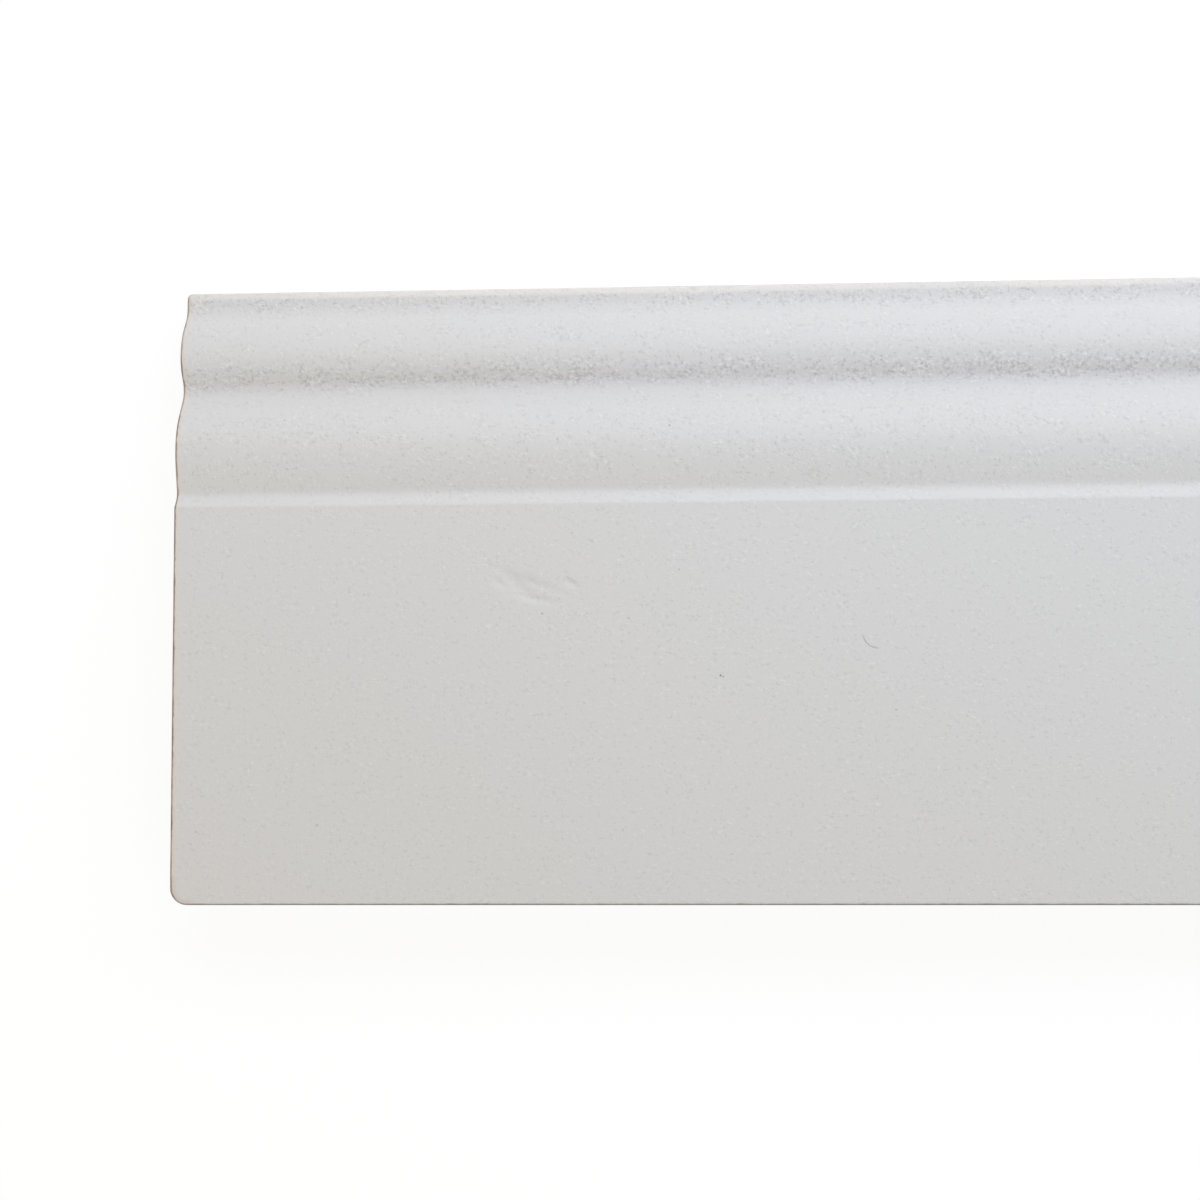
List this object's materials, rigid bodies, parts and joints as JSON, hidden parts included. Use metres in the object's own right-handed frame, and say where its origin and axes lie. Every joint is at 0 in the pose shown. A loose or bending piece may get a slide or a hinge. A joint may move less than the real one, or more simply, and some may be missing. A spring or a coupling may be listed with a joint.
{
  "type": "skirting board length",
  "caption": "Long flat board of white-primed fibreboard with an ogee moulding of bead, quirk, ovolo and groove along its top edge, to cover the joint of wall and floor.",
  "frame": {"origin": "middle of the flat back, which lies on the floor", "axes": "+X along the board, +Y across it from the floor edge to the moulded top edge, +Z out of the back towards the front face"},
  "size_m": [2.4, 0.12, 0.016],
  "materials": {
    "primed_fibreboard": "matt white primer with a fine stipple"
  },
  "bodies": {
    "root": {"skirting_board": "primed_fibreboard"}
  },
  "joints": []
}
